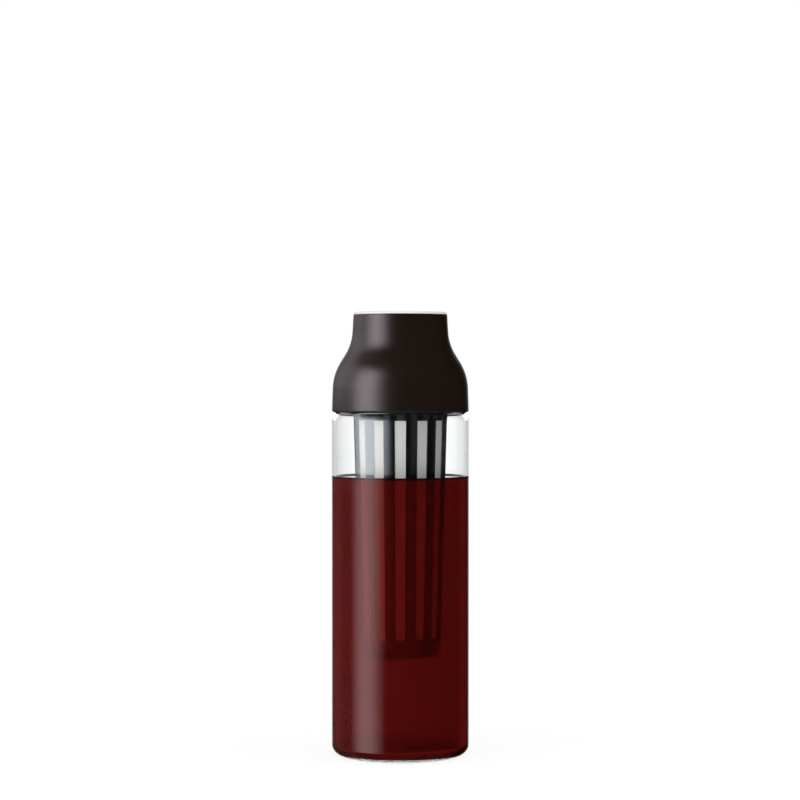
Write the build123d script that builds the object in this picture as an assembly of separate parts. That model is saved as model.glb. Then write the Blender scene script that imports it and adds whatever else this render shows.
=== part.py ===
"""Cold brew coffee maker: a glass carafe, a hanging steel strainer and a pouring lid.

Units are millimetres. The origin is the centre of the carafe's base, and +Z is up.
Nearly every piece is turned about the Z axis, so most of them are one closed section
drawn in the radius and height plane and revolved.
"""
import os
from math import atan2, cos, degrees, hypot, radians, sin, sqrt

from build123d import *

# Carafe: a straight bottle with a rounded shoulder and a short neck
CARAFE_RADIUS = 45.3
GLASS_WALL = 2.0
GLASS_BASE = 3.0
BASE_CORNER = 7.0
FLOOR_CORNER = 5.0
SHOULDER_START = 220.0
SHOULDER_RADIUS = 9.3
NECK_RADIUS = 36.0
NECK_HOLLOW = 3.0
MOUTH_HEIGHT = 245.0
MOUTH_ROUND = 0.6

# Strainer: a tapered sheet steel cup that hangs on the mouth
SHEET = 0.6
SCREEN = 0.3
CUP_TOP_RADIUS = 30.8
CUP_TOP_HEIGHT = 221.0
CUP_LOW_RADIUS = 26.65
CUP_LOW_HEIGHT = 75.0
CUP_BOTTOM = 64.6
CUP_CORNER = 7.0
BOWL_SEAM = 72.6
WINDOW_COUNT = 13
WINDOW_TOP = 220.8
WINDOW_BOTTOM = 77.7
WINDOW_TOP_WIDTH = 7.25
WINDOW_LOW_WIDTH = 5.8
WINDOW_ROUND = 2.2
SCREEN_LAP = 2.0
FLARE = 0.75
FLARE_START = 220.9
FLARE_TOP = 226.0
FLARE_BEND = 15.0
FLANGE_RADIUS = 35.4
FLANGE = 1.0
FLANGE_EDGE = 0.33
COLLAR_HEIGHT = 6.0

# Lid shell: a drafted skirt that sweeps in to a drafted neck
SHELL_BOTTOM = 226.0
SHELL_TOP = 290.4
SHELL_RADIUS = 45.2
SHELL_WALL = 2.0
SKIRT_DRAFT = 1.9
SKIRT_LENGTH = 15.55
CREST_RADIUS = 35.2
FLANK_LEAN = 31.5
FLANK_LENGTH = 6.3
WAIST_RADIUS = 31.8
NECK_DRAFT = 3.25
SKIRT_EDGE = 1.5
SKIRT_INNER_EDGE = 0.4
RIM_EDGE = 0.5

# Throat: the pale sleeve whose lip stands above the shell
THROAT_RADIUS = 27.4
THROAT_WALL = 1.4
LIP_RADIUS = 30.7
LIP_HEIGHT = 1.6
LIP_ROUND = 1.3
THROAT_BOTTOM = 252.0
BEAD = 0.8
BEAD_HEIGHT = 1.4

# Liner: the inner cap that sits on the strainer and holds the gaskets
CEILING = 2.0
COLLAR_RADIUS = 40.3
COLLAR_WALL = 1.6
COLLAR_BOTTOM = 232.6
COLLAR_LIP = 1.1
COLLAR_LIP_HEIGHT = 1.9
CHIMNEY_WALL = 1.8
CHIMNEY_TOP = 262.0
WASHER_INNER = 32.6
WASHER_OUTER = 35.2
WASHER_THICKNESS = 1.4
WASHER_PROUD = 0.6

# Neck gasket: a silicone sleeve with fins that face the glass neck
GASKET_BACK = 1.3
FIN_COUNT = 3
FIN_PITCH = 3.0
FIN_THICKNESS = 0.9
FIN_GAP = 0.3

# Stopper and the guide that its stem slides in
STEM_RADIUS = 3.0
STEM_PLAY = 0.08
STOPPER_TRAVEL = 18.0
HUB_RADIUS = 6.0
HUB_BOTTOM = 265.5
HUB_HEIGHT = 10.0
GUIDE_RING_WALL = 1.8
GUIDE_RING_HEIGHT = 4.0
ARM_COUNT = 4
ARM_WIDTH = 3.0
ARM_ROOT = 1.0
PLATE_BOTTOM = 276.5
PLATE_THICKNESS = 2.0
PLATE_RADIUS = 25.4
PLATE_EDGE = 0.5
BOSS_RADIUS = 22.6
SEAL_HEIGHT = 3.4
SEAL_GAP = 0.3
SEAL_FIN = 1.2
SEAL_SETBACK = 0.8
CAP_RADIUS = 26.6
CAP_FLOOR = 1.8
CAP_RIM = 290.6
CAP_WALL = 1.8
CAP_EDGE = 0.5
CAP_RIM_EDGE = 0.6
DISH_LEAN = 0.4
DISH_CORNER = 1.5
KNOB_LOW_RADIUS = 9.0
KNOB_TOP_RADIUS = 7.6
KNOB_TOP = 291.2
KNOB_WALL = 1.6
KNOB_EDGE = 1.0
CLIP_RADIUS = 5.6
CLIP_THICKNESS = 1.8
CLIP_GROOVE = 0.7
STEM_END = 2.0
STOP_PLAY = 0.1

# Worked out from the values above
CARAFE_BORE = CARAFE_RADIUS - GLASS_WALL
NECK_BORE = NECK_RADIUS - GLASS_WALL
CUP_TAPER = (CUP_TOP_RADIUS - CUP_LOW_RADIUS) / (CUP_TOP_HEIGHT - CUP_LOW_HEIGHT)
FLANGE_TOP = MOUTH_HEIGHT + FLANGE
CEILING_BOTTOM = FLANGE_TOP + WASHER_PROUD
CEILING_TOP = CEILING_BOTTOM + CEILING
THROAT_OUTER = THROAT_RADIUS + THROAT_WALL
COLLAR_BORE = COLLAR_RADIUS - COLLAR_WALL
GUIDE_BOTTOM = HUB_BOTTOM + (HUB_HEIGHT - GUIDE_RING_HEIGHT) / 2
PLATE_TOP = PLATE_BOTTOM + PLATE_THICKNESS
CAP_BOTTOM = PLATE_TOP + SEAL_HEIGHT
DISH_FLOOR = CAP_BOTTOM + CAP_FLOOR
CLIP_TOP = HUB_BOTTOM - STOPPER_TRAVEL - STOP_PLAY
CLIP_BOTTOM = CLIP_TOP - CLIP_THICKNESS


def turn(section):
    """Revolve a closed section, drawn with x as radius and y as height, about Z."""
    return revolve(Plane.XZ * make_face(section), Axis.Z)


def ring(*corners):
    """Turned solid from (radius, height, rounding) corners, taken in order round the section."""
    points = [(radius, height) for radius, height, _ in corners]
    roundings = [rounding for _, _, rounding in corners]
    if not any(roundings):
        return turn(Polyline(*points, close=True))
    return turn(FilletPolyline(*points, radius=roundings, close=True))


def tube(inner, outer, bottom, top, rounding=0.0):
    """Plain ring of rectangular section, with its four corners rounded alike."""
    return ring(
        (inner, bottom, rounding),
        (outer, bottom, rounding),
        (outer, top, rounding),
        (inner, top, rounding),
    )


# ---------------------------------------------------------------- carafe

def shoulder(inset):
    """Arcs of the shoulder, inset from the outer glass: the bulge, then the hollow below the neck.

    Both arcs keep their centres, so the glass has the same wall all the way. They meet on the
    line that joins the two centres, which leans by the angle returned with them.
    """
    bulge = (CARAFE_RADIUS - SHOULDER_RADIUS, SHOULDER_START)
    run = NECK_RADIUS + NECK_HOLLOW - bulge[0]
    rise = sqrt((SHOULDER_RADIUS + NECK_HOLLOW) ** 2 - run ** 2)
    hollow = (bulge[0] + run, bulge[1] + rise)
    lean = degrees(atan2(rise, run))
    return [
        CenterArc(bulge, SHOULDER_RADIUS - inset, 0, lean),
        CenterArc(hollow, NECK_HOLLOW + inset, 180 + lean, -lean),
    ], hollow[1]


def glass_carafe():
    """Blown glass bottle, closed at the base and open at the mouth."""
    outer_arcs, neck_start = shoulder(0)
    inner_arcs, _ = shoulder(GLASS_WALL)
    mouth_side = MOUTH_HEIGHT - MOUTH_ROUND
    base_flat = CARAFE_RADIUS - BASE_CORNER
    floor_flat = CARAFE_BORE - FLOOR_CORNER
    floor_side = GLASS_BASE + FLOOR_CORNER
    edges = [
        Line((0, 0), (base_flat, 0)),
        CenterArc((base_flat, BASE_CORNER), BASE_CORNER, 270, 90),
        Line((CARAFE_RADIUS, BASE_CORNER), (CARAFE_RADIUS, SHOULDER_START)),
        *outer_arcs,
        Line((NECK_RADIUS, neck_start), (NECK_RADIUS, mouth_side)),
        CenterArc((NECK_RADIUS - MOUTH_ROUND, mouth_side), MOUTH_ROUND, 0, 90),
        Line((NECK_RADIUS - MOUTH_ROUND, MOUTH_HEIGHT), (NECK_BORE + MOUTH_ROUND, MOUTH_HEIGHT)),
        CenterArc((NECK_BORE + MOUTH_ROUND, mouth_side), MOUTH_ROUND, 90, 90),
        Line((NECK_BORE, mouth_side), (NECK_BORE, neck_start)),
        *inner_arcs,
        Line((CARAFE_BORE, SHOULDER_START), (CARAFE_BORE, floor_side)),
        CenterArc((floor_flat, floor_side), FLOOR_CORNER, 270, 90),
        Line((floor_flat, GLASS_BASE), (0, GLASS_BASE)),
        Line((0, GLASS_BASE), (0, 0)),
    ]
    return turn(edges)


# -------------------------------------------------------------- strainer

def cup_radius(height, inset=0.0):
    """Radius of the cup's taper at a height, inset from its outer face."""
    return CUP_TOP_RADIUS - CUP_TAPER * (CUP_TOP_HEIGHT - height) - inset


def mouth_radius(height, inset=0.0):
    """Radius of the cup above its flare, which sets the top of the sleeve off from the taper."""
    return cup_radius(height, inset) + FLARE


def window_cutter():
    """Tapered bar that cuts the front window: square at the top, rounded at the bottom."""
    outline = FilletPolyline(
        (-WINDOW_TOP_WIDTH / 2, WINDOW_TOP),
        (-WINDOW_LOW_WIDTH / 2, WINDOW_BOTTOM),
        (WINDOW_LOW_WIDTH / 2, WINDOW_BOTTOM),
        (WINDOW_TOP_WIDTH / 2, WINDOW_TOP),
        radius=[0, WINDOW_ROUND, WINDOW_ROUND, 0],
        close=True,
    )
    return extrude(Plane.XZ * make_face(outline), amount=CARAFE_RADIUS)


def strainer_sleeve():
    """Rolled sheet steel wall of the cup, flared at the mouth, with a ring of tall windows."""
    wall = ring(
        (cup_radius(BOWL_SEAM), BOWL_SEAM, 0),
        (cup_radius(FLARE_START), FLARE_START, FLARE_BEND - SHEET),
        (mouth_radius(FLARE_TOP), FLARE_TOP, FLARE_BEND),
        (mouth_radius(FLANGE_TOP), FLANGE_TOP, 0),
        (mouth_radius(FLANGE_TOP, SHEET), FLANGE_TOP, 0),
        (mouth_radius(FLARE_TOP, SHEET), FLARE_TOP, FLARE_BEND - SHEET),
        (cup_radius(FLARE_START, SHEET), FLARE_START, FLARE_BEND),
        (cup_radius(BOWL_SEAM, SHEET), BOWL_SEAM, 0),
    )
    cutter = window_cutter()
    cutters = [Rot(0, 0, step * 360 / WINDOW_COUNT) * cutter for step in range(WINDOW_COUNT)]
    return wall - cutters


def mesh_screen():
    """Etched steel screen welded inside the sleeve, lapping past the windows at both ends."""
    bottom = WINDOW_BOTTOM - SCREEN_LAP
    top = WINDOW_TOP + SCREEN_LAP
    return ring(
        (cup_radius(bottom, SHEET), bottom, 0),
        (cup_radius(top, SHEET), top, 0),
        (cup_radius(top, SHEET + SCREEN), top, 0),
        (cup_radius(bottom, SHEET + SCREEN), bottom, 0),
    )


def strainer_bowl():
    """Drawn bottom of the cup, welded edge to edge below the sleeve."""
    top_outer = cup_radius(BOWL_SEAM)
    low_outer = cup_radius(CUP_BOTTOM)
    return ring(
        (0, CUP_BOTTOM, 0),
        (low_outer, CUP_BOTTOM, CUP_CORNER),
        (top_outer, BOWL_SEAM, 0),
        (top_outer - SHEET, BOWL_SEAM, 0),
        (low_outer - SHEET, CUP_BOTTOM + SHEET, CUP_CORNER - SHEET),
        (0, CUP_BOTTOM + SHEET, 0),
    )


def strainer_rim():
    """Flange that rests on the glass mouth, with a collar round the top of the sleeve."""
    collar_bottom = MOUTH_HEIGHT - COLLAR_HEIGHT
    return ring(
        (mouth_radius(collar_bottom), collar_bottom, 0),
        (mouth_radius(collar_bottom, -SHEET), collar_bottom, 0),
        (mouth_radius(MOUTH_HEIGHT, -SHEET), MOUTH_HEIGHT, 0),
        (FLANGE_RADIUS, MOUTH_HEIGHT, FLANGE_EDGE),
        (FLANGE_RADIUS, FLANGE_TOP, FLANGE_EDGE),
        (mouth_radius(FLANGE_TOP), FLANGE_TOP, 0),
    )


# ------------------------------------------------------------------- lid

def heading(lean):
    """Unit step up the shell's side where it leans inwards by this many degrees."""
    return Vector(-sin(radians(lean)), cos(radians(lean)))


def inward(lean):
    """Unit step from the shell's side towards its inside, square to the heading."""
    return Vector(-cos(radians(lean)), -sin(radians(lean)))


def crest_centre():
    """Centre of the convex arc above the skirt."""
    skirt_top = Vector(SHELL_RADIUS, SHELL_BOTTOM) + heading(SKIRT_DRAFT) * SKIRT_LENGTH
    return skirt_top + inward(SKIRT_DRAFT) * CREST_RADIUS


def waist_centre():
    """Centre of the concave arc below the neck."""
    flank_low = crest_centre() - inward(FLANK_LEAN) * CREST_RADIUS
    flank_top = flank_low + heading(FLANK_LEAN) * FLANK_LENGTH
    return flank_top - inward(FLANK_LEAN) * WAIST_RADIUS


def side_at(point, lean, height):
    """Where the straight line through a point, leaning inwards, crosses a height."""
    rise = height - point.Y
    return point.X - rise * sin(radians(lean)) / cos(radians(lean)), height


def shell_side(inset, bottom, top):
    """Points and arcs of the shell's side at an inset, from its bottom edge to its top edge."""
    crest = crest_centre()
    waist = waist_centre()
    crest_low = crest - inward(SKIRT_DRAFT) * (CREST_RADIUS - inset)
    crest_top = crest - inward(FLANK_LEAN) * (CREST_RADIUS - inset)
    waist_low = waist + inward(FLANK_LEAN) * (WAIST_RADIUS + inset)
    waist_top = waist + inward(NECK_DRAFT) * (WAIST_RADIUS + inset)
    start = side_at(crest_low, SKIRT_DRAFT, bottom)
    end = side_at(waist_top, NECK_DRAFT, top)
    crest_turn = FLANK_LEAN - SKIRT_DRAFT
    waist_turn = NECK_DRAFT - FLANK_LEAN
    edges = [
        Line(start, crest_low),
        CenterArc(crest, CREST_RADIUS - inset, SKIRT_DRAFT, crest_turn),
        Line(crest_top, waist_low),
        CenterArc(waist, WAIST_RADIUS + inset, 180 + FLANK_LEAN, waist_turn),
        Line(waist_top, end),
    ]
    return edges, start, end


def circle_edge(part, radius, height):
    """The circular edge of a turned part nearest to a radius and height."""
    circles = part.edges().filter_by(GeomType.CIRCLE)
    return min(circles, key=lambda edge: hypot(edge.radius - radius, edge.arc_center.Z - height))


def lid_shell():
    """Moulded outer cap: one wall thickness, open at the skirt and at the neck."""
    outside, outer_low, outer_top = shell_side(0, SHELL_BOTTOM, SHELL_TOP)
    inside, inner_low, inner_top = shell_side(SHELL_WALL, SHELL_BOTTOM, SHELL_TOP)
    shell = turn([*outside, Line(outer_top, inner_top), *inside, Line(inner_low, outer_low)])
    roundings = [(outer_low, SKIRT_EDGE), (inner_low, SKIRT_INNER_EDGE), (outer_top, RIM_EDGE)]
    for corner, rounding in roundings:
        shell = fillet(circle_edge(shell, *corner), rounding)
    return shell


def pour_lip():
    """Throat sleeve dropped in from above: its lip lands on the shell's neck."""
    lip_top = SHELL_TOP + LIP_HEIGHT
    bead_radius = THROAT_RADIUS - BEAD
    bead_bottom = GUIDE_BOTTOM - BEAD_HEIGHT
    return ring(
        (THROAT_RADIUS, THROAT_BOTTOM, 0),
        (THROAT_OUTER, THROAT_BOTTOM, 0),
        (THROAT_OUTER, SHELL_TOP, 0),
        (LIP_RADIUS, SHELL_TOP, 0),
        (LIP_RADIUS, lip_top, LIP_ROUND),
        (THROAT_RADIUS, lip_top, LIP_ROUND),
        (THROAT_RADIUS, GUIDE_BOTTOM, 0),
        (bead_radius, GUIDE_BOTTOM, 0),
        (bead_radius, bead_bottom, 0),
        (THROAT_RADIUS, bead_bottom - BEAD, 0),
    )


def collar_top():
    """Height at which the liner's collar meets the inside of the shell's convex sweep."""
    crest = crest_centre()
    reach = CREST_RADIUS - SHELL_WALL
    return crest.Y + sqrt(reach ** 2 - (COLLAR_RADIUS - crest.X) ** 2)


def lid_liner():
    """Inner cap: a collar round the glass neck, a ceiling, and a chimney that takes the throat."""
    chimney = THROAT_OUTER + CHIMNEY_WALL
    lip_bore = COLLAR_BORE - COLLAR_LIP
    lip_top = COLLAR_BOTTOM + COLLAR_LIP_HEIGHT
    groove_top = FLANGE_TOP + WASHER_THICKNESS
    return ring(
        (THROAT_RADIUS, CEILING_BOTTOM, 0),
        (WASHER_INNER, CEILING_BOTTOM, 0),
        (WASHER_INNER, groove_top, 0),
        (WASHER_OUTER, groove_top, 0),
        (WASHER_OUTER, CEILING_BOTTOM, 0),
        (COLLAR_BORE, CEILING_BOTTOM, 0),
        (COLLAR_BORE, lip_top, 0),
        (lip_bore, lip_top, 0),
        (lip_bore, COLLAR_BOTTOM, 0),
        (COLLAR_RADIUS, COLLAR_BOTTOM, 0),
        (COLLAR_RADIUS, collar_top(), 0),
        (COLLAR_BORE, collar_top(), 0),
        (COLLAR_BORE, CEILING_TOP, 0),
        (chimney, CEILING_TOP, 0),
        (chimney, CHIMNEY_TOP, 0),
        (THROAT_OUTER, CHIMNEY_TOP, 0),
        (THROAT_OUTER, THROAT_BOTTOM, 0),
        (THROAT_RADIUS, THROAT_BOTTOM, 0),
    )


def neck_gasket():
    """Silicone sleeve inside the collar, with fins that reach towards the glass neck."""
    bottom = COLLAR_BOTTOM + COLLAR_LIP_HEIGHT
    sleeve = tube(COLLAR_BORE - GASKET_BACK, COLLAR_BORE, bottom, CEILING_BOTTOM)
    fin_tip = NECK_RADIUS + FIN_GAP
    for step in range(FIN_COUNT):
        low = bottom + FIN_THICKNESS + step * FIN_PITCH
        sleeve += tube(fin_tip, COLLAR_BORE, low, low + FIN_THICKNESS)
    return sleeve


def seat_gasket():
    """Flat silicone washer, held in the ceiling's groove and resting on the strainer's flange."""
    return tube(WASHER_INNER, WASHER_OUTER, FLANGE_TOP, FLANGE_TOP + WASHER_THICKNESS)


def pour_guide():
    """Spider in the throat: an outer ring, four arms and the hub that the stem slides in."""
    guide_top = GUIDE_BOTTOM + GUIDE_RING_HEIGHT
    ring_inner = THROAT_RADIUS - GUIDE_RING_WALL
    arm_start = HUB_RADIUS - ARM_ROOT
    arm_length = ring_inner + GUIDE_RING_WALL / 2 - arm_start
    guide = tube(ring_inner, THROAT_RADIUS, GUIDE_BOTTOM, guide_top)
    guide += tube(STEM_RADIUS + STEM_PLAY, HUB_RADIUS, HUB_BOTTOM, HUB_BOTTOM + HUB_HEIGHT)
    arm = Pos(arm_start + arm_length / 2, 0, GUIDE_BOTTOM + GUIDE_RING_HEIGHT / 2) * Box(
        arm_length, ARM_WIDTH, GUIDE_RING_HEIGHT
    )
    for step in range(ARM_COUNT):
        guide += Rot(0, 0, (step + 0.5) * 360 / ARM_COUNT) * arm
    return guide


# --------------------------------------------------------------- stopper

def stopper_cap():
    """Dished stopper top with a finger knob, and a boss below that carries the seal."""
    knob_inner = KNOB_TOP_RADIUS - KNOB_WALL
    return ring(
        (0, KNOB_TOP - KNOB_WALL, 0),
        (knob_inner, KNOB_TOP - KNOB_WALL, 0),
        (knob_inner, PLATE_TOP, 0),
        (BOSS_RADIUS, PLATE_TOP, 0),
        (BOSS_RADIUS, CAP_BOTTOM, 0),
        (CAP_RADIUS, CAP_BOTTOM, CAP_EDGE),
        (CAP_RADIUS, CAP_RIM, CAP_RIM_EDGE),
        (CAP_RADIUS - CAP_WALL, CAP_RIM, CAP_RIM_EDGE),
        (CAP_RADIUS - CAP_WALL - DISH_LEAN, DISH_FLOOR, DISH_CORNER),
        (KNOB_LOW_RADIUS, DISH_FLOOR, DISH_CORNER),
        (KNOB_TOP_RADIUS, KNOB_TOP, KNOB_EDGE),
        (0, KNOB_TOP, 0),
    )


def stopper_seal():
    """Silicone ring clamped under the cap, with one fin that closes the throat."""
    fin_low = PLATE_TOP + (SEAL_HEIGHT - SEAL_FIN) / 2
    body = tube(BOSS_RADIUS, CAP_RADIUS - SEAL_SETBACK, PLATE_TOP, CAP_BOTTOM)
    return body + tube(BOSS_RADIUS, THROAT_RADIUS - SEAL_GAP, fin_low, fin_low + SEAL_FIN)


def stopper_base():
    """Plate that clamps the seal from below, with the grooved stem that runs in the hub."""
    groove = STEM_RADIUS - CLIP_GROOVE
    plug = KNOB_TOP_RADIUS - KNOB_WALL
    stem_bottom = CLIP_BOTTOM - STEM_END
    return ring(
        (0, stem_bottom, 0),
        (STEM_RADIUS, stem_bottom, CLIP_GROOVE),
        (STEM_RADIUS, CLIP_BOTTOM, 0),
        (groove, CLIP_BOTTOM, 0),
        (groove, CLIP_TOP, 0),
        (STEM_RADIUS, CLIP_TOP, 0),
        (STEM_RADIUS, PLATE_BOTTOM, 0),
        (PLATE_RADIUS, PLATE_BOTTOM, PLATE_EDGE),
        (PLATE_RADIUS, PLATE_TOP, 0),
        (plug, PLATE_TOP, 0),
        (plug, CAP_BOTTOM, 0),
        (0, CAP_BOTTOM, 0),
    )


def stem_clip():
    """Ring snapped into the stem's groove: it meets the hub and ends the stopper's lift."""
    return tube(STEM_RADIUS - CLIP_GROOVE, CLIP_RADIUS, CLIP_BOTTOM, CLIP_TOP)


PIECES = [
    glass_carafe,
    strainer_sleeve,
    mesh_screen,
    strainer_bowl,
    strainer_rim,
    lid_shell,
    pour_lip,
    lid_liner,
    neck_gasket,
    seat_gasket,
    pour_guide,
    stopper_cap,
    stopper_seal,
    stopper_base,
    stem_clip,
]

os.makedirs("parts", exist_ok=True)
for piece in PIECES:
    export_step(piece(), f"parts/{piece.__name__}.step")
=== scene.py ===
# %% [markdown]
# # A cold brew coffee maker
#
# The real thing is a straight glass carafe, a polished steel strainer that hangs in its neck, and
# a waisted brown lid with a pale pouring lip. Ground coffee steeps in the strainer overnight.
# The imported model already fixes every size, so this lesson starts from it and dresses each piece:
# almost all of them are turned shapes, which is why one good revolving function comes first.

from math import radians

import bmesh
import bpy
import numpy as np
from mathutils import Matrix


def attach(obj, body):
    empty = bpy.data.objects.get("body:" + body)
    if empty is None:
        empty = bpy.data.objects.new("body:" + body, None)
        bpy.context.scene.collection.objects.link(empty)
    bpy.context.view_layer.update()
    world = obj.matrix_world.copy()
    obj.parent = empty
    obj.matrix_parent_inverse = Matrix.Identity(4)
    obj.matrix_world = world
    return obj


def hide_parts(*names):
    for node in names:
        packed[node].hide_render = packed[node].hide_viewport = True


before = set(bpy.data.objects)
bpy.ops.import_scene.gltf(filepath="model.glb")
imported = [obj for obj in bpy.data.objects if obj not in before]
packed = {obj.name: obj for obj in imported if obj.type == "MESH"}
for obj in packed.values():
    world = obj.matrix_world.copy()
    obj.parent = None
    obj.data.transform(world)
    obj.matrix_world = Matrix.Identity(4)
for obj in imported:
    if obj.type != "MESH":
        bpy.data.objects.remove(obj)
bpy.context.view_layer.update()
MM = 0.001

# %% [markdown]
# ## Turning a section
#
# A moulded, blown or spun piece is round, so it is one closed section carried about the Z axis.
# Spin or Screw modifiers could do that, but then corners would still have to be drawn by hand.
# Here a section is a short list of corners, each with its own rounding, and arrays do the rest.

# %% Rounded sections
SAME_POINT = 1e-6


def rounded(corners, arc_points=9):
    """Closed section from (radius, height, rounding) corners in millimetres.

    A rounded corner is a circular arc tangent to both sides. It starts and ends at rounding divided
    by the tangent of half the corner's angle, and it is written as a quadratic Bezier with weights
    1, s, 1, where s is the sine of that half angle: such a curve is exactly the arc.
    """
    corners = np.array(corners, float)
    point, size = corners[:, :2], corners[:, 2:]
    back = np.roll(point, 1, axis=0) - point
    ahead = np.roll(point, -1, axis=0) - point
    back /= np.linalg.norm(back, axis=1, keepdims=True)
    ahead /= np.linalg.norm(ahead, axis=1, keepdims=True)
    half = np.arccos(np.clip((back * ahead).sum(1, keepdims=True), -1, 1)) / 2
    reach = size / np.tan(half)
    t = np.linspace(0, 1, arc_points)[None, :, None]
    start_share, corner_share, end_share = (1 - t) ** 2, 2 * t * (1 - t) * np.sin(half)[:, None], t ** 2
    total = start_share + corner_share + end_share
    start = (point + back * reach)[:, None]
    end = (point + ahead * reach)[:, None]
    curve = (start_share * start + corner_share * point[:, None] + end_share * end) / total
    curve = curve.reshape(-1, 2)
    step = np.linalg.norm(curve - np.roll(curve, 1, axis=0), axis=1)
    return curve[step > SAME_POINT]


def arc(centre, radius, start, end, points=24):
    """Points of a circular arc: centre plus radius times the cosine and sine of evenly spaced angles."""
    angle = np.radians(np.linspace(start, end, points))
    return np.array(centre) + radius * np.column_stack([np.cos(angle), np.sin(angle)])


# %% Faces from grids
WELD_DISTANCE = 1e-7


def grid_faces(rows, columns, wrap_rows):
    """Quads of a grid whose columns always close on themselves, and whose rows do if wrap_rows.

    Corner k of a quad is row times columns plus column, with both counted on round the loop.
    """
    last = rows if wrap_rows else rows - 1
    row, column = np.meshgrid(np.arange(last), np.arange(columns), indexing="ij")
    next_row, next_column = (row + 1) % rows, (column + 1) % columns
    corners = [row * columns + column, row * columns + next_column,
               next_row * columns + next_column, next_row * columns + column]
    return np.stack(corners, axis=-1).reshape(-1, 4)


def solid_volume(points, faces):
    """Volume inside a closed mesh: a sixth of the sum of a . (b x c) over its triangles."""
    a, b, c, d = (points[faces[:, k]] for k in range(4))
    first = np.einsum("ij,ij->i", a, np.cross(b, c))
    second = np.einsum("ij,ij->i", a, np.cross(c, d))
    return (first + second).sum() / 6


def new_piece(name, points, faces):
    """Blender object from arrays, doubles welded, smooth except at real corners."""
    mesh = bpy.data.meshes.new(name)
    mesh.from_pydata(points, [], faces.tolist())
    piece = bpy.data.objects.new(name, mesh)
    bpy.context.scene.collection.objects.link(piece)
    weld(mesh)
    smooth(mesh)
    return piece


def weld(mesh):
    """Merge the points that meet at poles and seams, and drop the faces that close up there."""
    work = bmesh.new()
    work.from_mesh(mesh)
    bmesh.ops.remove_doubles(work, verts=work.verts, dist=WELD_DISTANCE)
    bmesh.ops.dissolve_degenerate(work, edges=work.edges, dist=WELD_DISTANCE)
    work.to_mesh(mesh)
    work.free()


def smooth(mesh, corner_angle=32):
    """Smooth shading, with sharp edges where faces turn by more than corner_angle degrees."""
    mesh.polygons.foreach_set("use_smooth", np.ones(len(mesh.polygons), bool))
    mesh.set_sharp_from_angle(angle=np.radians(corner_angle))
    mesh.update()


# %% Revolving
def turned(name, section, slices=192):
    """Revolve a closed section (radius, height, in millimetres) about Z.

    Point (i, j) is (r_i cos a_j, r_i sin a_j, z_i) with the angles a_j spaced evenly. If the
    signed volume comes out negative, the faces are turned over, so they always point outwards.
    """
    angle = np.linspace(0, 2 * np.pi, slices, endpoint=False)
    radius, height = section[:, 0] * MM, section[:, 1] * MM
    points = np.stack([
        np.outer(radius, np.cos(angle)),
        np.outer(radius, np.sin(angle)),
        np.repeat(height[:, None], slices, axis=1),
    ], axis=-1).reshape(-1, 3)
    faces = grid_faces(len(section), slices, wrap_rows=True)
    if solid_volume(points, faces) < 0:
        faces = faces[:, ::-1]
    piece = new_piece(name, points, faces)
    print(name, len(piece.data.polygons), "faces")
    return piece


# %% [markdown]
# ## The carafe
#
# Borosilicate tube is blown to a flat thick base, a tight shoulder and a short neck, with the
# same wall all the way. A subdivided cylinder would ripple in the refraction, so the inner and
# outer walls are exact arcs about shared centres, and the revolve is very fine.

# %% Carafe
CARAFE_RADIUS, GLASS_WALL, GLASS_BASE = 45.3, 2.0, 3.0
BASE_CORNER, FLOOR_CORNER = 7.0, 5.0
SHOULDER_START, SHOULDER_RADIUS = 220.0, 9.3
NECK_RADIUS, NECK_HOLLOW = 36.0, 3.0
MOUTH_HEIGHT, MOUTH_ROUND = 245.0, 0.6


def shoulder(inset):
    """Shoulder of a wall inset from the outer glass: two arcs that meet on their centres' line."""
    bulge = np.array([CARAFE_RADIUS - SHOULDER_RADIUS, SHOULDER_START])
    run = NECK_RADIUS + NECK_HOLLOW - bulge[0]
    rise = np.sqrt((SHOULDER_RADIUS + NECK_HOLLOW) ** 2 - run ** 2)
    hollow = bulge + [run, rise]
    lean = np.degrees(np.arctan2(rise, run))
    return np.vstack([
        arc(bulge, SHOULDER_RADIUS - inset, 0, lean),
        arc(hollow, NECK_HOLLOW + inset, 180 + lean, 180),
    ])


def carafe_section():
    """Base, corner, wall, shoulder, fire polished mouth, and back down the inside."""
    corner = (CARAFE_RADIUS - BASE_CORNER, BASE_CORNER)
    bore = CARAFE_RADIUS - GLASS_WALL
    floor_corner = (bore - FLOOR_CORNER, GLASS_BASE + FLOOR_CORNER)
    neck_bore = NECK_RADIUS - GLASS_WALL
    side = MOUTH_HEIGHT - MOUTH_ROUND
    return np.vstack([
        [(0, 0)],
        arc(corner, BASE_CORNER, 270, 360),
        shoulder(0),
        arc((NECK_RADIUS - MOUTH_ROUND, side), MOUTH_ROUND, 0, 90, 8),
        arc((neck_bore + MOUTH_ROUND, side), MOUTH_ROUND, 90, 180, 8),
        shoulder(GLASS_WALL)[::-1],
        arc(floor_corner, FLOOR_CORNER, 360, 270),
        [(0, GLASS_BASE)],
    ])


carafe = turned("carafe", carafe_section(), slices=360)
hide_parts("glass_carafe")
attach(carafe, "carafe")

# %% [markdown]
# ## The coffee
#
# The brew fills the bore up to a level, and it climbs a little where it wets the glass. It is one
# closed body that reaches a hair into the wall, so no film of air is left between the two. At the
# floor it stops a hair above the glass, which lets the thick base carry light. It is modelled
# whole and the strainer stands in it, so it stays complete when somebody lifts the strainer out.

# %% Coffee
COFFEE_LEVEL = 183.3
WALL_OVERLAP = 0.1
FLOOR_GAP = 0.02
CLIMB, CLIMB_WIDTH, CLIMB_SPAN = 0.8, 0.7, 8.0


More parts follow.
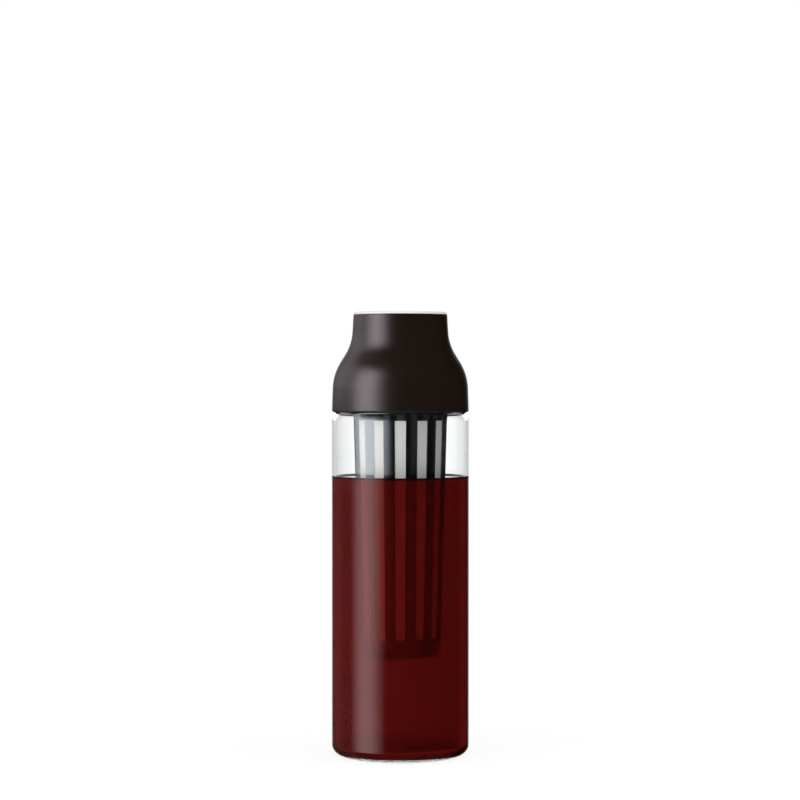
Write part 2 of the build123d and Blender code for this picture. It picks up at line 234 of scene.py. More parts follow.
def coffee_section():
    """Floor, corner and wall, then a surface that rises by CLIMB as exp(-distance / CLIMB_WIDTH).

    The surface's points lie closer together towards the wall, up to CLIMB_SPAN away from it.
    The corner keeps the floor's centre. Its radius grows from FLOOR_CORNER less FLOOR_GAP at the
    floor to FLOOR_CORNER plus WALL_OVERLAP at the wall, evenly with the angle.
    """
    bore = CARAFE_RADIUS - GLASS_WALL + WALL_OVERLAP
    floor = GLASS_BASE + FLOOR_GAP
    angle = np.radians(np.linspace(270, 360, 24))
    reach = FLOOR_CORNER + np.linspace(-FLOOR_GAP, WALL_OVERLAP, len(angle))
    corner = np.column_stack([reach * np.cos(angle), reach * np.sin(angle)])
    corner += [CARAFE_RADIUS - GLASS_WALL - FLOOR_CORNER, GLASS_BASE + FLOOR_CORNER]
    near = np.linspace(0, 1, 12) ** 2 * CLIMB_SPAN
    distance = np.concatenate([near, np.linspace(CLIMB_SPAN + 2, bore, 6)])
    surface = np.column_stack([bore - distance, COFFEE_LEVEL + CLIMB * np.exp(-distance / CLIMB_WIDTH)])
    return np.vstack([
        [(0, floor)],
        corner,
        surface,
    ])


coffee = turned("coffee", coffee_section(), slices=240)
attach(coffee, "carafe")

# %% [markdown]
# ## The strainer
#
# A tapered steel cup with thirteen tall windows, a drawn bottom, a screen inside and a flange that
# hangs on the glass. Cutting the windows with booleans would leave long thin triangles that
# show in a mirror finish. So the wall is one grid whose columns follow the window edges, and
# the faces inside the windows are simply left out before the sheet gets its thickness.

# %% The taper
SHEET, SCREEN = 0.6, 0.3
CUP_TOP = (30.8, 221.0)
CUP_LOW = (26.65, 75.0)
CUP_BOTTOM, CUP_CORNER, BOWL_SEAM = 64.6, 7.0, 72.6
FLARE, FLARE_START, FLARE_TOP, FLARE_CURVE = 0.75, 220.9, 226.0, 1.6
FLANGE_RADIUS, FLANGE, COLLAR_HEIGHT = 35.4, 1.0, 6.0
FLANGE_TOP = MOUTH_HEIGHT + FLANGE


def cup_radius(height, inset=0.0):
    """Straight taper: the radius grows evenly from the low ring to the top ring."""
    taper = (CUP_TOP[0] - CUP_LOW[0]) / (CUP_TOP[1] - CUP_LOW[1])
    return CUP_TOP[0] - taper * (CUP_TOP[1] - height) - inset


def sleeve_radius(height, inset=0.0):
    """The taper plus the flare: FLARE times its share of the height to the power FLARE_CURVE."""
    share = np.clip((height - FLARE_START) / (FLARE_TOP - FLARE_START), 0, 1)
    return cup_radius(height, inset) + FLARE * share ** FLARE_CURVE


# %% Sleeve with windows
WINDOWS = 13
WINDOW_TOP, WINDOW_BOTTOM = 220.8, 77.7
WINDOW_TOP_WIDTH, WINDOW_LOW_WIDTH, WINDOW_ROUND = 7.25, 5.8, 2.2
BAR_COLUMNS, WINDOW_COLUMNS = 9, 5


def window_half_width(height):
    """Half width of a window: an even taper, less R - sqrt(R^2 - d^2) in its rounded bottom corners.

    d is how far the height lies below the top of the corner's arc, from 0 to R.
    """
    share = np.clip((height - WINDOW_BOTTOM) / (WINDOW_TOP - WINDOW_BOTTOM), 0, 1)
    straight = (WINDOW_LOW_WIDTH + (WINDOW_TOP_WIDTH - WINDOW_LOW_WIDTH) * share) / 2
    depth = np.clip(WINDOW_BOTTOM + WINDOW_ROUND - height, 0, WINDOW_ROUND)
    return straight - (WINDOW_ROUND - np.sqrt(WINDOW_ROUND ** 2 - depth ** 2))


def sleeve_rows():
    """Heights of the grid's rows, closer together round the windows' rounded corners."""
    corner = WINDOW_BOTTOM + WINDOW_ROUND * (1 - np.cos(np.linspace(0, np.pi / 2, 12)))
    return np.concatenate([
        np.linspace(BOWL_SEAM, WINDOW_BOTTOM, 4)[:-1],
        corner,
        np.linspace(corner[-1], WINDOW_TOP, 40)[1:],
        np.linspace(WINDOW_TOP, FLARE_TOP, 14)[1:],
        [FLANGE_TOP],
    ])


def sleeve_sheet():
    """Outer face of the sleeve, as a grid of heights by columns.

    A sector is one bar and one window. The bar's columns run evenly between its two window
    edges, and the window's own run evenly across the gap. An edge's angle is asin(half width / radius).
    """
    heights = sleeve_rows()
    radius = sleeve_radius(heights)
    edge = np.arcsin(window_half_width(heights) / radius)[:, None]
    sector = 2 * np.pi / WINDOWS
    bar = np.linspace(-1, 1, BAR_COLUMNS) * (sector / 2 - edge)
    gap = sector / 2 + np.linspace(-1, 1, WINDOW_COLUMNS + 2)[1:-1] * edge
    offsets = np.arange(WINDOWS) * sector - np.pi / 2 + sector / 2
    pattern = np.concatenate([bar, gap], axis=1)
    angle = (offsets[None, :, None] + pattern[:, None, :]).reshape(len(heights), -1)
    points = np.stack([
        radius[:, None] * np.cos(angle),
        radius[:, None] * np.sin(angle),
        np.repeat(heights[:, None], angle.shape[1], axis=1),
    ], axis=-1)
    per_sector = BAR_COLUMNS + WINDOW_COLUMNS
    faces = grid_faces(len(heights), angle.shape[1], wrap_rows=False)
    row, column = np.divmod(np.arange(len(faces)), angle.shape[1])
    middle = (heights[row] + heights[row + 1]) / 2
    in_window = (column % per_sector >= BAR_COLUMNS - 1) & (middle > WINDOW_BOTTOM) & (middle < WINDOW_TOP)
    return points.reshape(-1, 3) * MM, faces[~in_window]


def applied(piece):
    """Put the result of the piece's modifiers into its own mesh, and shade it again."""
    graph = bpy.context.evaluated_depsgraph_get()
    mesh = bpy.data.meshes.new_from_object(piece.evaluated_get(graph))
    piece.modifiers.clear()
    piece.data = mesh
    smooth(mesh)
    return piece


points, faces = sleeve_sheet()
sleeve = new_piece("sleeve", points, faces)
thicken = sleeve.modifiers.new("sheet", "SOLIDIFY")
thicken.thickness = SHEET * MM
thicken.offset = -1
applied(sleeve)
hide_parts("strainer_sleeve")
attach(sleeve, "strainer")
print("sleeve", len(sleeve.data.polygons), "faces")

# %% [markdown]
# ### Screen
#
# A thin etched sheet, rolled to the same taper, closes the windows from inside. Its real holes
# would take a great many faces, so the piece is a plain turned sheet and the holes are a finish.

# %% Screen
SCREEN_LAP = 2.0


def screen_section():
    """Thin tapered sheet inside the sleeve, lapping past the windows at both ends."""
    low, high = WINDOW_BOTTOM - SCREEN_LAP, WINDOW_TOP + SCREEN_LAP
    return np.array([
        (cup_radius(low, SHEET), low),
        (cup_radius(high, SHEET), high),
        (cup_radius(high, SHEET + SCREEN), high),
        (cup_radius(low, SHEET + SCREEN), low),
    ])


screen = turned("screen", screen_section(), slices=240)
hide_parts("mesh_screen")
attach(screen, "strainer")

# %% [markdown]
# ### Bowl and rim
#
# The bottom is drawn from a disc of sheet, which leaves a generous round corner, and a ring round
# the flare spreads into the flange. A bevelled cylinder could stand in for each, but a turned
# section keeps the sheet's thickness exact right through the corner.

# %% Bowl and rim
bowl_top, bowl_low = cup_radius(BOWL_SEAM), cup_radius(CUP_BOTTOM)
bowl = turned("bowl", rounded([
    (0, CUP_BOTTOM, 0),
    (bowl_low, CUP_BOTTOM, CUP_CORNER),
    (bowl_top, BOWL_SEAM, 0),
    (bowl_top - SHEET, BOWL_SEAM, 0),
    (bowl_low - SHEET, CUP_BOTTOM + SHEET, CUP_CORNER - SHEET),
    (0, CUP_BOTTOM + SHEET, 0),
], arc_points=20))
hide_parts("strainer_bowl")
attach(bowl, "strainer")

collar_low = MOUTH_HEIGHT - COLLAR_HEIGHT
rim = turned("rim", rounded([
    (sleeve_radius(collar_low), collar_low, 0),
    (sleeve_radius(collar_low, -SHEET), collar_low, SHEET / 4),
    (sleeve_radius(MOUTH_HEIGHT, -SHEET), MOUTH_HEIGHT, 0),
    (FLANGE_RADIUS, MOUTH_HEIGHT, FLANGE / 3),
    (FLANGE_RADIUS, FLANGE_TOP, FLANGE / 3),
    (sleeve_radius(FLANGE_TOP), FLANGE_TOP, 0),
]))
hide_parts("strainer_rim")
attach(rim, "strainer")

# %% [markdown]
# ## The lid
#
# The brown shell is moulded in one wall thickness: a slightly drafted skirt, a crest that rolls
# over to a leaning flank, a waist that rolls back, and a drafted neck. Each stretch leaves the
# last one without a kink, so the highlights glide over it. The section walks along its own
# heading, and the inner face is the same walk with the wall taken off the radii.

# %% Shell
SHELL_BOTTOM, SHELL_TOP, SHELL_RADIUS, SHELL_WALL = 226.0, 290.4, 45.2, 2.0
SKIRT_DRAFT, SKIRT_LENGTH = 1.9, 15.55
CREST_RADIUS, FLANK_LEAN, FLANK_LENGTH = 35.2, 31.5, 6.3
WAIST_RADIUS, NECK_DRAFT = 31.8, 3.25
SKIRT_EDGE, SKIRT_INNER_EDGE, RIM_EDGE = 1.5, 0.4, 0.5


def heading(lean):
    """Unit step up a side that leans inwards by lean degrees."""
    return np.array([-np.sin(np.radians(lean)), np.cos(np.radians(lean))])


def inward(lean):
    """Unit step square to the heading, towards the axis."""
    return np.array([-np.cos(np.radians(lean)), -np.sin(np.radians(lean))])


def shell_side(inset):
    """The shell's side at an inset, from bottom to top: straight, arc, straight, arc, straight."""
    skirt_top = np.array([SHELL_RADIUS, SHELL_BOTTOM]) + heading(SKIRT_DRAFT) * SKIRT_LENGTH
    crest = skirt_top + inward(SKIRT_DRAFT) * CREST_RADIUS
    flank_low = crest - inward(FLANK_LEAN) * CREST_RADIUS
    flank_top = flank_low + heading(FLANK_LEAN) * FLANK_LENGTH
    waist = flank_top - inward(FLANK_LEAN) * WAIST_RADIUS
    curve = np.vstack([
        arc(crest, CREST_RADIUS - inset, SKIRT_DRAFT, FLANK_LEAN, 40),
        arc(waist, WAIST_RADIUS + inset, 180 + FLANK_LEAN, 180 + NECK_DRAFT, 40),
    ])
    low_run = (curve[0, 1] - SHELL_BOTTOM) * np.tan(np.radians(SKIRT_DRAFT))
    top_run = (SHELL_TOP - curve[-1, 1]) * np.tan(np.radians(NECK_DRAFT))
    low = [(curve[0, 0] + low_run, SHELL_BOTTOM)]
    top = [(curve[-1, 0] - top_run, SHELL_TOP)]
    return np.vstack([low, curve, top])


def with_rounding(points, roundings):
    """Corners list from points, with a rounding at the indices that roundings names."""
    size = np.zeros(len(points))
    size[list(roundings)] = list(roundings.values())
    return np.column_stack([points, size])


def shell_section():
    """Outer side up and inner side down, with its edges rounded."""
    outside, inside = shell_side(0), shell_side(SHELL_WALL)[::-1]
    loop = np.vstack([outside, inside])
    edges = {0: SKIRT_EDGE, len(outside) - 1: RIM_EDGE, len(loop) - 1: SKIRT_INNER_EDGE}
    return rounded(with_rounding(loop, edges))


shell = turned("shell", shell_section(), slices=256)
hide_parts("lid_shell")
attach(shell, "lid")

# %% [markdown]
# ### Throat
#
# The pale throat stands inside the brown neck and folds over its top edge as the pouring lip. The
# stopper's guide rests on a bead inside. Booleans could add the lip and the bead, but as corners
# of one section they are part of the wall, and every edge gets its own rounding.

# %% Throat with its pouring lip
THROAT_RADIUS, THROAT_WALL, THROAT_BOTTOM = 27.4, 1.4, 252.0
LIP_RADIUS, LIP_HEIGHT, LIP_ROUND = 30.7, 1.6, 1.3
BEAD, BEAD_HEIGHT = 0.8, 1.4
HUB_BOTTOM, HUB_HEIGHT, GUIDE_HEIGHT = 265.5, 10.0, 4.0
GUIDE_BOTTOM = HUB_BOTTOM + (HUB_HEIGHT - GUIDE_HEIGHT) / 2
THROAT_OUTER = THROAT_RADIUS + THROAT_WALL
lip_top, bead_bottom = SHELL_TOP + LIP_HEIGHT, GUIDE_BOTTOM - BEAD_HEIGHT
throat = turned("throat", rounded([
    (THROAT_RADIUS, THROAT_BOTTOM, 0.2),
    (THROAT_OUTER, THROAT_BOTTOM, 0.2),
    (THROAT_OUTER, SHELL_TOP, 0),
    (LIP_RADIUS, SHELL_TOP, 0.1),
    (LIP_RADIUS, lip_top, LIP_ROUND),
    (THROAT_RADIUS, lip_top, LIP_ROUND),
    (THROAT_RADIUS, GUIDE_BOTTOM, 0),
    (THROAT_RADIUS - BEAD, GUIDE_BOTTOM, 0),
    (THROAT_RADIUS - BEAD, bead_bottom, 0),
    (THROAT_RADIUS, bead_bottom - BEAD, 0),
]))
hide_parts("pour_lip")
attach(throat, "lid")

# %% [markdown]
# ### Liner
#
# The hidden cap in the shell: a collar goes round the glass neck, a ceiling presses the washer on
# the strainer's flange, and a chimney holds the throat. Each could be a cylinder of its own, but
# it is one moulding, so it is one section.

# %% Liner
CEILING, COLLAR_RADIUS, COLLAR_WALL, COLLAR_BOTTOM = 2.0, 40.3, 1.6, 232.6
COLLAR_LIP, COLLAR_LIP_HEIGHT = 1.1, 1.9
CHIMNEY_WALL, CHIMNEY_TOP = 1.8, 262.0
WASHER_INNER, WASHER_OUTER, WASHER, WASHER_PROUD = 32.6, 35.2, 1.4, 0.6
COLLAR_BORE = COLLAR_RADIUS - COLLAR_WALL
CEILING_BOTTOM = FLANGE_TOP + WASHER_PROUD
lip_bore, collar_lip_top = COLLAR_BORE - COLLAR_LIP, COLLAR_BOTTOM + COLLAR_LIP_HEIGHT
shell_inside = shell_side(SHELL_WALL)
collar_meets = np.interp(-COLLAR_RADIUS, -shell_inside[:, 0], shell_inside[:, 1])
liner = turned("liner", rounded([
    (THROAT_RADIUS, CEILING_BOTTOM, 0.3),
    (WASHER_INNER, CEILING_BOTTOM, 0),
    (WASHER_INNER, FLANGE_TOP + WASHER, 0),
    (WASHER_OUTER, FLANGE_TOP + WASHER, 0),
    (WASHER_OUTER, CEILING_BOTTOM, 0),
    (COLLAR_BORE, CEILING_BOTTOM, 0),
    (COLLAR_BORE, collar_lip_top, 0),
    (lip_bore, collar_lip_top, 0.3),
    (lip_bore, COLLAR_BOTTOM, 0.4),
    (COLLAR_RADIUS, COLLAR_BOTTOM, 0.4),
    (COLLAR_RADIUS, collar_meets, 0),
    (COLLAR_BORE, collar_meets, 0),
    (COLLAR_BORE, CEILING_BOTTOM + CEILING, 0.5),
    (THROAT_OUTER + CHIMNEY_WALL, CEILING_BOTTOM + CEILING, 0.5),
    (THROAT_OUTER + CHIMNEY_WALL, CHIMNEY_TOP, 0.2),
    (THROAT_OUTER, CHIMNEY_TOP, 0.2),
    (THROAT_OUTER, THROAT_BOTTOM, 0),
    (THROAT_RADIUS, THROAT_BOTTOM, 0),
]))
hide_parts("lid_liner")
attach(liner, "lid")

# %% [markdown]
# ### Gaskets
#
# Two silicone rings seal the lid: fins that wipe the glass neck, and a flat washer on the flange.
# An Array modifier could repeat the fins, but a loop that adds four corners at every pitch keeps
# them one sleeve. They end a hair short of the glass, as nothing here bends.

# %% Gaskets
GASKET_BACK, FINS, FIN_PITCH, FIN_THICKNESS, FIN_GAP = 1.3, 3, 3.0, 0.9, 0.3


def gasket_section():
    """Silicone sleeve with fins: straight back, and a rounded tongue at every pitch."""
    back, tip = COLLAR_BORE - GASKET_BACK, NECK_RADIUS + FIN_GAP
    corners = [
        (COLLAR_BORE, CEILING_BOTTOM, 0),
        (COLLAR_BORE, collar_lip_top, 0),
        (back, collar_lip_top, 0.1),
    ]
    for fin in range(FINS):
        low = collar_lip_top + FIN_THICKNESS + fin * FIN_PITCH
        high = low + FIN_THICKNESS
        corners += [(back, low, 0.1), (tip, low, 0.4), (tip, high, 0.4), (back, high, 0.1)]
    return rounded(corners + [(back, CEILING_BOTTOM, 0.1)], arc_points=5)


gasket = turned("neck_fins", gasket_section(), slices=128)
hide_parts("neck_gasket")
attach(gasket, "lid")

washer = turned("seat_washer", rounded([
    (WASHER_INNER, FLANGE_TOP, 0.2),
    (WASHER_OUTER, FLANGE_TOP, 0.2),
    (WASHER_OUTER, FLANGE_TOP + WASHER, 0),
    (WASHER_INNER, FLANGE_TOP + WASHER, 0),
]), slices=128)
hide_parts("seat_gasket")
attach(washer, "lid")

# %% [markdown]
# ## The stopper
#
# It lifts to open a slot all round the lip, so the coffee pours from any side. Its dished top
# leaves room for a finger and thumb at the knob. Cap, seal, and plate with stem are three turned
# pieces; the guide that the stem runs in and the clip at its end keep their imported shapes.

# %% Stopper
STEM_RADIUS, STOPPER_TRAVEL, STOP_PLAY = 3.0, 18.0, 0.1
CLIP_THICKNESS, CLIP_GROOVE, STEM_END = 1.8, 0.7, 2.0
PLATE_BOTTOM, PLATE_THICKNESS, PLATE_RADIUS, BOSS_RADIUS = 276.5, 2.0, 25.4, 22.6
SEAL_HEIGHT, SEAL_GAP, SEAL_FIN, SEAL_INSET = 3.4, 0.3, 1.2, 0.8
CAP_RADIUS, CAP_FLOOR, CAP_RIM, CAP_WALL, CAP_DRAFT = 26.6, 1.8, 290.6, 1.8, 0.4
KNOB_LOW_RADIUS, KNOB_TOP_RADIUS, KNOB_TOP, KNOB_WALL = 9.0, 7.6, 291.2, 1.6
plate_top = PLATE_BOTTOM + PLATE_THICKNESS
cap_bottom = plate_top + SEAL_HEIGHT
dish_floor = cap_bottom + CAP_FLOOR
knob_inner = KNOB_TOP_RADIUS - KNOB_WALL
cap = turned("stopper_top", rounded([
    (0, KNOB_TOP - KNOB_WALL, 0),
    (knob_inner, KNOB_TOP - KNOB_WALL, 0.5),
    (knob_inner, plate_top, 0),
    (BOSS_RADIUS, plate_top, 0),
    (BOSS_RADIUS, cap_bottom, 0),
    (CAP_RADIUS, cap_bottom, 0.5),
    (CAP_RADIUS, CAP_RIM, CAP_WALL / 3),
    (CAP_RADIUS - CAP_WALL, CAP_RIM, CAP_WALL / 3),
    (CAP_RADIUS - CAP_WALL - CAP_DRAFT, dish_floor, 1.5),
    (KNOB_LOW_RADIUS, dish_floor, 1.5),
    (KNOB_TOP_RADIUS, KNOB_TOP, 1.0),
    (0, KNOB_TOP, 0),
]))
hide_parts("stopper_cap")
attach(cap, "stopper")

fin_low = plate_top + (SEAL_HEIGHT - SEAL_FIN) / 2
seal_side, fin_tip = CAP_RADIUS - SEAL_INSET, THROAT_RADIUS - SEAL_GAP
seal = turned("stopper_ring", rounded([
    (BOSS_RADIUS, plate_top, 0),
    (seal_side, plate_top, 0.2),
    (seal_side, fin_low, 0.1),
    (fin_tip, fin_low, 0.5),
    (fin_tip, fin_low + SEAL_FIN, 0.5),
    (seal_side, fin_low + SEAL_FIN, 0.1),
    (seal_side, cap_bottom, 0.2),
    (BOSS_RADIUS, cap_bottom, 0),
]))
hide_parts("stopper_seal")
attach(seal, "stopper")

clip_top = HUB_BOTTOM - STOPPER_TRAVEL - STOP_PLAY
clip_bottom = clip_top - CLIP_THICKNESS
stem = turned("stopper_stem", rounded([
    (0, clip_bottom - STEM_END, 0),
    (STEM_RADIUS, clip_bottom - STEM_END, CLIP_GROOVE),
    (STEM_RADIUS, clip_bottom, 0),
    (STEM_RADIUS - CLIP_GROOVE, clip_bottom, 0),
    (STEM_RADIUS - CLIP_GROOVE, clip_top, 0),
    (STEM_RADIUS, clip_top, 0),
    (STEM_RADIUS, PLATE_BOTTOM, 0),
    (PLATE_RADIUS, PLATE_BOTTOM, 0.5),
    (PLATE_RADIUS, plate_top, 0),
    (knob_inner, plate_top, 0),
    (knob_inner, cap_bottom, 0),
    (0, cap_bottom, 0),
]), slices=128)
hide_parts("stopper_base")
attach(stem, "stopper")

# %% [markdown]
# ## Finishes
#
# Plastic, steel and silicone all have a fine skin that breaks up a highlight, so that is one
# shader node group, placed in each material with its own scale and strength. Masks are worked
# out with small math nodes, because a formula stays sharp at any size where a picture would not.

# %% Node helpers
def feed(tree, place, value):
    """Link a socket into an input, or set the input to a number or a colour."""
    if isinstance(value, bpy.types.NodeSocket):
        tree.links.new(value, place)
    else:
        place.default_value = value


def maths(tree, operation, *values):
    """One math node: each value is a socket or a number."""
    node = tree.nodes.new("ShaderNodeMath")
    node.operation = operation
    for place, value in zip(node.inputs, values):
        feed(tree, place, value)
    return node.outputs["Value"]


def product(tree, first, *others):
    """All the values multiplied together."""
    for value in others:
        first = maths(tree, "MULTIPLY", first, value)
    return first


def ramp(tree, value, low, high, start=0.0, end=1.0, kind="LINEAR"):
    """Run from low to high while the value goes from start to end, straight or in a smooth S."""
    node = tree.nodes.new("ShaderNodeMapRange")
    node.interpolation_type = kind
    for name, limit in (("From Min", start), ("From Max", end), ("To Min", low), ("To Max", high)):
        node.inputs[name].default_value = limit
    tree.links.new(value, node.inputs["Value"])
    return node.outputs["Result"]


def choose(tree, mask, off, on):
    """off where the mask is 0 and on where it is 1."""
    node = tree.nodes.new("ShaderNodeMix")
    for name, value in (("A", off), ("B", on), ("Factor", mask)):
        feed(tree, node.inputs[name], value)
    return node.outputs["Result"]


def tint(tree, mask, dark, light):
    """Mix two colours by a mask: each is a socket or a fixed colour."""
    node = tree.nodes.new("ShaderNodeMix")
    node.data_type = "RGBA"
    colours = [socket for socket in node.inputs if socket.type == "RGBA"]
    for place, value in zip(colours, (dark, light)):
        feed(tree, place, value)
    tree.links.new(mask, node.inputs["Factor"])
    return node.outputs["Result"]


def axes(tree, coordinates="Object"):
    """X, Y and Z of a texture coordinate."""
    place = tree.nodes.new("ShaderNodeTexCoord")
    split = tree.nodes.new("ShaderNodeSeparateXYZ")
    tree.links.new(place.outputs[coordinates], split.inputs["Vector"])
    return [split.outputs[axis] for axis in "XYZ"]


def bump(tree, height, depth, shader):
    """Raise the surface by depth metres where the height is 1."""
    node = tree.nodes.new("ShaderNodeBump")
    node.inputs["Distance"].default_value = depth
    tree.links.new(height, node.inputs["Height"])
    tree.links.new(node.outputs["Normal"], shader.inputs["Normal"])


def linear(red, green, blue):
    """Scene linear colour of an sRGB colour given from 0 to 255."""
    value = np.array([red, green, blue]) / 255
    low, high = value / 12.92, ((value + 0.055) / 1.055) ** 2.4
    return (*np.where(value <= 0.04045, low, high), 1.0)


# %% Skin group
MARKS_ARE_COARSER = 8.0


def skin_group():
    """Grain and marks of a moulded or polished skin: two noises, the marks eight times coarser."""
    group = bpy.data.node_groups.new("fine skin", "ShaderNodeTree")
    for name, default in (("Scale", 900.0), ("Stretch", 1.0)):
        socket = group.interface.new_socket(name, in_out="INPUT", socket_type="NodeSocketFloat")
        socket.default_value = default
    for name in ("Grain", "Marks"):
        group.interface.new_socket(name, in_out="OUTPUT", socket_type="NodeSocketFloat")
    nodes, links = group.nodes, group.links
    inputs, outputs = nodes.new("NodeGroupInput"), nodes.new("NodeGroupOutput")
    place = nodes.new("ShaderNodeTexCoord")
    squeeze = nodes.new("ShaderNodeCombineXYZ")
    squeeze.inputs["X"].default_value = 1.0
    squeeze.inputs["Y"].default_value = 1.0
    links.new(inputs.outputs["Stretch"], squeeze.inputs["Z"])
    stretched = nodes.new("ShaderNodeVectorMath")
    stretched.operation = "MULTIPLY"
    links.new(place.outputs["Object"], stretched.inputs[0])
    links.new(squeeze.outputs["Vector"], stretched.inputs[1])
    fine = inputs.outputs["Scale"]
    coarse = maths(group, "DIVIDE", fine, MARKS_ARE_COARSER)
    for name, scale, detail in (("Grain", fine, 3.0), ("Marks", coarse, 5.0)):
        noise = nodes.new("ShaderNodeTexNoise")
        noise.inputs["Detail"].default_value = detail
        links.new(stretched.outputs["Vector"], noise.inputs["Vector"])
        links.new(scale, noise.inputs["Scale"])
        links.new(noise.outputs["Fac"], outputs.inputs[name])
    return group


SKIN = skin_group()


def new_material(name, scale, stretch=1.0):
    """Material with one Principled shader and the skin group at its own scale."""
    material = bpy.data.materials.new(name)
    material.use_nodes = True
    tree = material.node_tree
    skin = tree.nodes.new("ShaderNodeGroup")
    skin.node_tree = SKIN
    skin.inputs["Scale"].default_value = scale
    skin.inputs["Stretch"].default_value = stretch
    return material, tree, tree.nodes["Principled BSDF"], skin


def height_mask(tree, start, end):
    """0 up to one height and 1 from the other on, in metres, in a smooth S."""
    height = axes(tree)[2]
    return ramp(tree, height, 0, 1, start, end, "SMOOTHSTEP")


def skinned(name, dark, light, rough, scale, depth, stretch=1.0, **plain):
    """Opaque finish: colour, roughness and relief follow the skin, and plain names fixed sockets."""
    material, tree, shader, skin = new_material(name, scale, stretch)
    marks = skin.outputs["Marks"]
    tree.links.new(tint(tree, marks, linear(*dark), linear(*light)), shader.inputs["Base Color"])
    tree.links.new(ramp(tree, marks, *rough), shader.inputs["Roughness"])
    bump(tree, skin.outputs["Grain"], depth, shader)
    for socket, value in plain.items():
        shader.inputs[socket.replace("_", " ")].default_value = value
    return material


# %% [markdown]
# The lid is a matt moulded plastic with a satin sheen: nearly black brown, with a highlight that
# is broad but has an edge. Its lowest millimetre comes off the mould rough, so the shine ends
# there. The milky plastic lets some light in, so it gets a little subsurface.

# %% Plastics and silicone
brown = skinned(
    "brown plastic", dark=(26, 16, 5), light=(32, 20, 8), rough=(0.26, 0.34),
    scale=2600, depth=0.000012,
    IOR=1.6, Specular_IOR_Level=1.0, Specular_Tint=(1.0, 0.86, 0.95, 1.0),
)
ROUGH_EDGE_LOW, ROUGH_EDGE_HIGH, ROUGH_EDGE = 0.2270, 0.2276, 0.9
brown_tree = brown.node_tree
brown_roughness = brown_tree.nodes["Principled BSDF"].inputs["Roughness"]
satin = brown_roughness.links[0].from_socket
at_edge = height_mask(brown_tree, ROUGH_EDGE_HIGH, ROUGH_EDGE_LOW)
brown_tree.links.new(choose(brown_tree, at_edge, satin, ROUGH_EDGE), brown_roughness)

milky = skinned(
    "milky plastic", dark=(208, 206, 204), light=(220, 218, 216), rough=(0.32, 0.42),
    scale=2000, depth=0.00001,
    Subsurface_Weight=0.35, Subsurface_Radius=(0.004, 0.004, 0.004), Subsurface_Scale=0.5,
)
black = skinned(
    "black silicone", dark=(12, 11, 12), light=(20, 18, 19), rough=(0.45, 0.6),
    scale=1500, depth=0.00002,
)
pale = skinned(
    "pale silicone", dark=(214, 216, 216), light=(226, 228, 227), rough=(0.45, 0.55),
    scale=1500, depth=0.00002,
)

# %% [markdown]
# The cup is polished while it turns, which leaves a faint grain that runs round it. A picture of
# scratches would blur close up, so the skin does this too: its Stretch packs the noise closer
# along the axis, and what is left long runs round.

# %% Polished steel
steel = skinned(
    "polished steel", dark=(202, 208, 217), light=(214, 219, 227), rough=(0.13, 0.20),
    scale=700, depth=0.000001, stretch=6.0,
    Metallic=1.0,
)

# %% [markdown]
# ## Etched screen
#
# The screen is thin sheet with tens of thousands of etched holes. Real holes would be far too
# many faces, so the lattice is a formula: the product of a cosine round the axis and a cosine up
# it is highest at points that sit in staggered rows. Because a whole number of holes goes round,
# the pattern closes on itself without a seam. The holes stay closed: their darker colour is
# painted shade for the dark seen through them, and a bump sinks them.

# %% Screen finish
HOLES_ROUND, ROW_PITCH = 260, 0.0006
HOLE_EDGE, HOLE_CENTRE = 0.35, 0.62
HOLE_DEPTH = 0.00012


def hole_mask(tree):
    """1 in a hole: cos(holes x angle) x cos(pi x height / row pitch), cut off smoothly."""
    east, north, height = axes(tree)
    angle = maths(tree, "ARCTAN2", north, east)
    around = maths(tree, "COSINE", product(tree, angle, HOLES_ROUND))
    upward = maths(tree, "COSINE", product(tree, height, np.pi / ROW_PITCH))
    return ramp(tree, product(tree, around, upward), 0, 1, HOLE_EDGE, HOLE_CENTRE, "SMOOTHSTEP")


etched, etched_tree, etched_shader, etched_skin = new_material("etched steel", scale=3000)
# The holes' darker colour is painted shade, for the dark seen through real holes.
SHEET_COLOUR, HOLE_PAINTED_SHADE = linear(250, 249, 247), linear(190, 188, 186)
ETCHED_ROUGH, ETCHED_METAL = (0.45, 0.6), 0.1
holes = hole_mask(etched_tree)
# Sheet colour, with painted shade in the holes.
sheet_and_hole_shade = tint(etched_tree, holes, SHEET_COLOUR, HOLE_PAINTED_SHADE)
etched_roughness = ramp(etched_tree, etched_skin.outputs["Marks"], *ETCHED_ROUGH)
etched_tree.links.new(sheet_and_hole_shade, etched_shader.inputs["Base Color"])
etched_tree.links.new(etched_roughness, etched_shader.inputs["Roughness"])
bump(etched_tree, maths(etched_tree, "SUBTRACT", 1.0, holes), HOLE_DEPTH, etched_shader)
etched_shader.inputs["Metallic"].default_value = ETCHED_METAL

# %% [markdown]
# ## Glass and coffee
#
# Two clear bodies that share a wall need care: where glass ends and coffee begins, light bends by
# the ratio of the two. The coffee here keeps an index of one against the inner wall, which it
# overlaps by a hair, so it only colours the light. Its free surface bends and mirrors like water.
# Drawn glass has slow waves along its length, so its marks are stretched that way.
# The coffee's colour is painted darker near its rim and in its bottom corner, as painted shade:
# above 182.4 mm for the rim, and below 8.5 mm for the corner.

# %% Glass
glass, glass_tree, glass_shader, glass_skin = new_material("clear glass", scale=160, stretch=0.25)
GLASS_COLOUR, GLASS_INDEX, GLASS_WAVE = (0.99, 0.995, 0.995, 1.0), 1.48, 0.0000015
glass_shader.inputs["Base Color"].default_value = GLASS_COLOUR
glass_shader.inputs["Transmission Weight"].default_value = 1.0
glass_shader.inputs["IOR"].default_value = GLASS_INDEX
glass_shader.inputs["Roughness"].default_value = 0.0
bump(glass_tree, glass_skin.outputs["Marks"], GLASS_WAVE, glass_shader)

